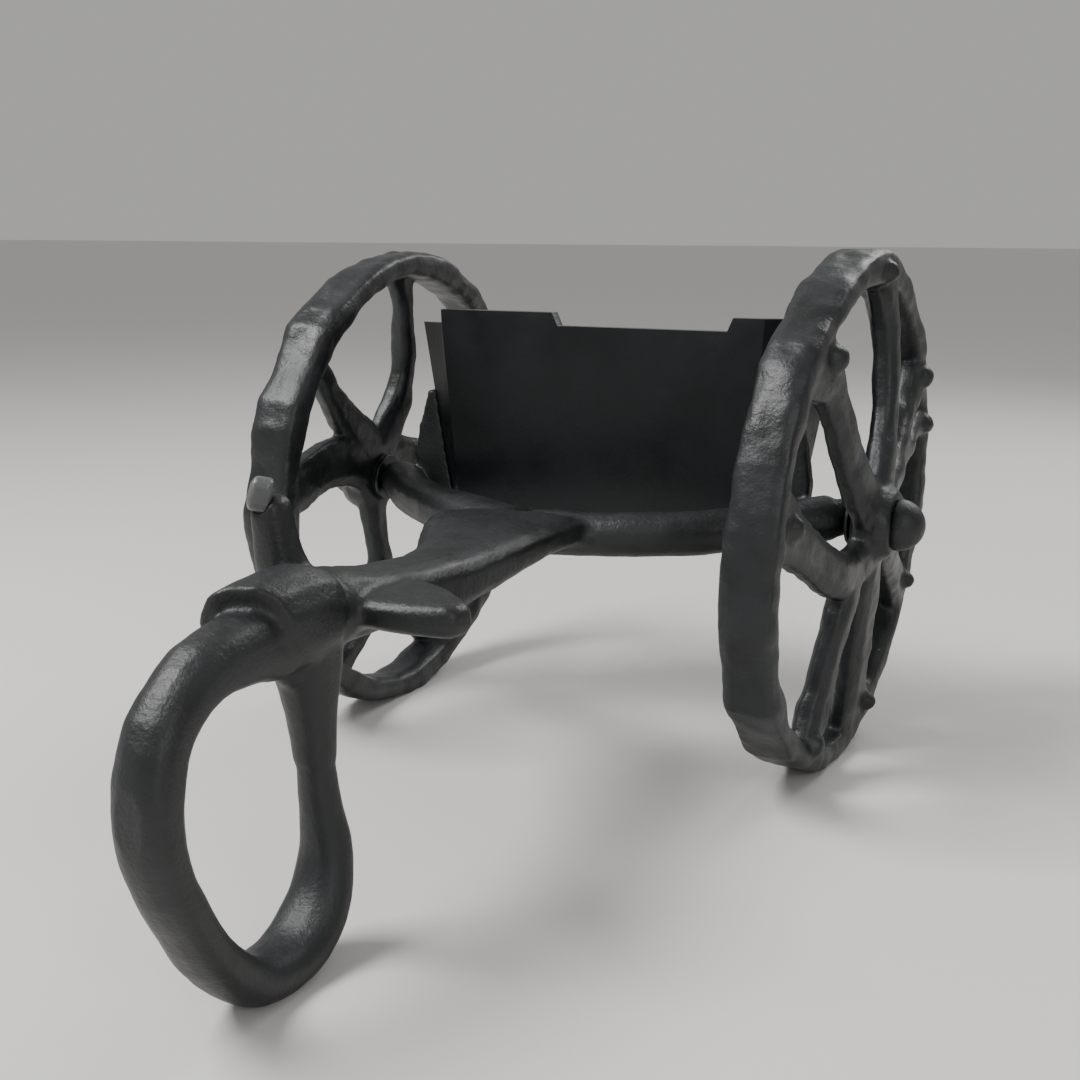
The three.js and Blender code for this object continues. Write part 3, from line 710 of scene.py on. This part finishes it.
# The tub's lighter colour is a painted highlight on the upward faces of its rim, from 116 mm up.
TUB = painted("blue-black paint on plate", dark=(0.0026, 0.0036, 0.0046),
              light=(0.0044, 0.0058, 0.0070), wear_and_highlight=(0.06, 0.063, 0.066), rough=(0.36, 0.5),
              pebble_scale=1100, dimples=0.8, bump=0.2, dust_amount=0.015,
              shine=0.32, rim_highlight_from=116 * MM)
print("finishes:", CAST.name, WHEEL.name, PAD_PAINTED_HIGHLIGHT.name, TUB.name, sep=", ")

# %% [markdown]
# ## Turned metal
# Steel and nickel come off a lathe or a press. Lathe rings would need each part's own axis, so
# the skin grain is used at a finer scale: it reads as a slightly stained satin from any side.

# %% Bare metals
STAIN_SCALE, TOOL_PITS = 220.0, 0.15
TOOL_BUMP, TOOL_RELIEF = 0.12, 0.1 * MM


def bare(name, dark, light, rough, scale):
    material, tree, shader, where = start(name)
    skin = use(tree, grain_tree, {"Vector": where, "Pebble Scale": scale,
                                  "Patch Scale": STAIN_SCALE, "Pits": TOOL_PITS})
    color = blend_colors(tree, skin.outputs["Patch"], (*dark, 1), (*light, 1))
    tree.links.new(color, shader.inputs["Base Color"])
    roughness = remap(tree, skin.outputs["Pebble"], PATCH_LOW, PATCH_HIGH, *rough)
    tree.links.new(roughness, shader.inputs["Roughness"])
    shader.inputs["Metallic"].default_value = 1.0
    relief = node(tree, "ShaderNodeBump", {
        "Height": skin.outputs["Height"], "Strength": TOOL_BUMP, "Distance": TOOL_RELIEF})
    tree.links.new(relief.outputs["Normal"], shader.inputs["Normal"])
    return material


STEEL = bare("dull turned steel", (0.24, 0.24, 0.245), (0.36, 0.36, 0.365), (0.28, 0.42), 2400)
BLACKENED = bare("blackened steel", (0.03, 0.031, 0.033), (0.06, 0.062, 0.066), (0.35, 0.5), 1800)
NICKEL = bare("nickel plate", (0.5, 0.5, 0.5), (0.6, 0.6, 0.59), (0.12, 0.2), 1400)
print("bare metals:", STEEL.name, BLACKENED.name, NICKEL.name, sep=", ")

# %% [markdown]
# ## Putting it together
# Every piece rides on its body, hides the solids that it stands for, and names its finish.

# %% Riding, replacing, finishing
def fit(piece, body, nodes, material):
    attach(piece, body)
    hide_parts(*nodes)
    piece.data.materials.clear()
    piece.data.materials.append(material)


fit(cart_frame, "chassis", FRAME_NODES, CAST)
fit(handle_pad, "chassis", ("left_handle_pad",), PAD_PAINTED_HIGHLIGHT)
fit(tub_shell, "chassis", ("tub",), TUB)
for side in ("left", "right"):
    body = f"{side}_wheel_set"
    fit(wheels[side], body, WHEEL_NODES[side], WHEEL)
    fit(axle_pieces[side, "bush"], body, (f"{side}_bush",), BLACKENED)
    fit(axle_pieces[side, "washer"], "chassis", (f"{side}_washer",), BLACKENED)
    fit(axle_pieces[side, "spindle"], "chassis", (f"{side}_spindle",), STEEL)
    fit(axle_pieces[side, "cap"], "chassis", (f"{side}_cap",), CAST)
for name, piece in under_pieces.items():
    nickel = name == "magnet"
    fit(piece, "chassis", (name,),
        NICKEL if nickel else STEEL)
print("pieces:", 3 + len(wheels) + len(axle_pieces) + len(under_pieces))

# %% [markdown]
# ## The floor
# The cart stands on a plain pale floor, wide enough that its edge is far off from every side. It
# lies a hair below zero, so that it never shares a face with the feet.

# %% Floor
FLOOR_SIZE = 60         # metres
FLOOR_DROP = 0.05 * MM
bpy.ops.object.select_all(action="DESELECT")
bpy.ops.mesh.primitive_plane_add(size=FLOOR_SIZE, location=(0, 0, -FLOOR_DROP))
floor = bpy.context.object
floor.name = "floor"
pale = bpy.data.materials.new("pale floor")
pale.use_nodes = True
pale_shader = pale.node_tree.nodes["Principled BSDF"]
pale_shader.inputs["Base Color"].default_value = (0.7, 0.69, 0.67, 1)
pale_shader.inputs["Roughness"].default_value = 0.65
floor.data.materials.append(pale)
floor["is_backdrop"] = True
print("floor:", FLOOR_SIZE, "m wide")

# %% [markdown]
# ## The light
# Dark satin paint shows little but reflections, so the lights are large and soft: a main one above
# and to the left, a weak one from the right to lift the shaded sides, and one from behind for the
# rims. An even, dim surround fills the rest.

# %% Lights
def soft_light(name, at, towards, size, power):
    bpy.ops.object.light_add(type="AREA", location=at)
    light = bpy.context.object
    light.name = name
    light.data.shape = "RECTANGLE"
    light.data.size, light.data.size_y = size
    light.data.energy = power
    light.rotation_euler = (Vector(towards) - Vector(at)).to_track_quat("-Z", "Y").to_euler()


for name, at, towards, size, power in (
    ("top light", (-0.45, -0.35, 0.85), (0, 0, 0.06), (0.5, 0.4), 12),
    ("side light", (0.75, -0.65, 0.5), (0, 0, 0.07), (0.3, 0.4), 2),
    ("back light", (0.25, 0.85, 0.7), (0, 0, 0.07), (0.5, 0.3), 4),
):
    soft_light(name, at, towards, size, power)

world = bpy.data.worlds.new("surround")
world.use_nodes = True
surround = world.node_tree.nodes["Background"]
surround.inputs["Color"].default_value = (1, 0.99, 0.96, 1)
surround.inputs["Strength"].default_value = 0.42
bpy.context.scene.world = world

# %% [markdown]
# ## Last measure
# The visual model must stay inside the engineering box, so both boxes are printed.

# %% Sizes and finish
both = {"cad": cad_box, "visual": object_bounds()}
both = {key: [[float(v) for v in corner] for corner in box] for key, box in both.items()}
for key, box in both.items():
    print(key, "box, mm:", [[round(v / MM, 2) for v in corner] for corner in box])
